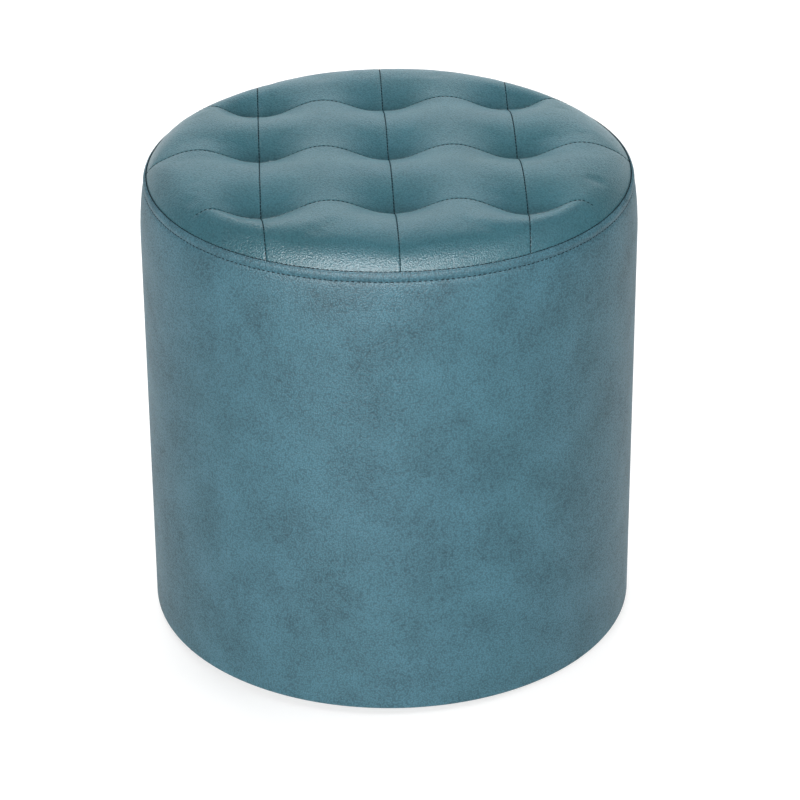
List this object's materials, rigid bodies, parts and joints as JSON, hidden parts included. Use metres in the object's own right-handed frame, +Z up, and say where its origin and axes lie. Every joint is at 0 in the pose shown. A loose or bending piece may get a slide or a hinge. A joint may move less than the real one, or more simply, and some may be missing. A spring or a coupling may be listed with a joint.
{
  "type": "pouf",
  "caption": "Low round pouf: a padded drum covered in faux leather, with a tufted, pieced seat and a topstitched rim. For sitting on or resting feet.",
  "frame": {"origin": "on the floor, under the middle of the pouf", "axes": "+Z up along the drum's axis, +X and +Y along the seat's seams, front at -Y, back seam at +Y"},
  "size_m": [0.38, 0.38, 0.391],
  "materials": {
    "faux_leather": "satin",
    "sewing_thread": "matte",
    "polyester_wadding": "matte",
    "seat_foam": "matte",
    "padding_foam": "matte",
    "plywood": "satin",
    "pine": "matte",
    "hardboard": "satin",
    "zinc_plated_steel": "satin",
    "staple_wire": "satin",
    "tuft_twine": "matte",
    "dust_cloth": "matte",
    "black_plastic": "matte"
  },
  "bodies": {
    "root": {"seat_panel_row1_col1": "faux_leather", "seat_panel_row1_col2": "faux_leather", "seat_panel_row1_col3": "faux_leather", "seat_panel_row1_col4": "faux_leather", "seat_panel_row2_col1": "faux_leather", "seat_panel_row2_col2": "faux_leather", "seat_panel_row2_col3": "faux_leather", "seat_panel_row2_col4": "faux_leather", "seat_panel_row3_col1": "faux_leather", "seat_panel_row3_col2": "faux_leather", "seat_panel_row3_col3": "faux_leather", "seat_panel_row3_col4": "faux_leather", "seat_panel_row4_col1": "faux_leather", "seat_panel_row4_col2": "faux_leather", "seat_panel_row4_col3": "faux_leather", "seat_panel_row4_col4": "faux_leather", "side_cover": "faux_leather", "rim_topstitch": "sewing_thread", "seat_wadding": "polyester_wadding", "seat_foam": "seat_foam", "side_padding": "padding_foam", "base_board": "plywood", "seat_board": "plywood", "upright_1": "pine", "upright_2": "pine", "upright_3": "pine", "upright_4": "pine", "upright_5": "pine", "upright_6": "pine", "side_panel": "hardboard", "base_screws": "zinc_plated_steel", "seat_screws": "zinc_plated_steel", "glide_screws": "zinc_plated_steel", "tuft_washers": "zinc_plated_steel", "side_panel_staples": "staple_wire", "hem_staples": "staple_wire", "dust_cover_staples": "staple_wire", "tuft_twines": "tuft_twine", "dust_cover": "dust_cloth", "glide_1": "black_plastic", "glide_2": "black_plastic", "glide_3": "black_plastic", "glide_4": "black_plastic"}
  },
  "joints": []
}
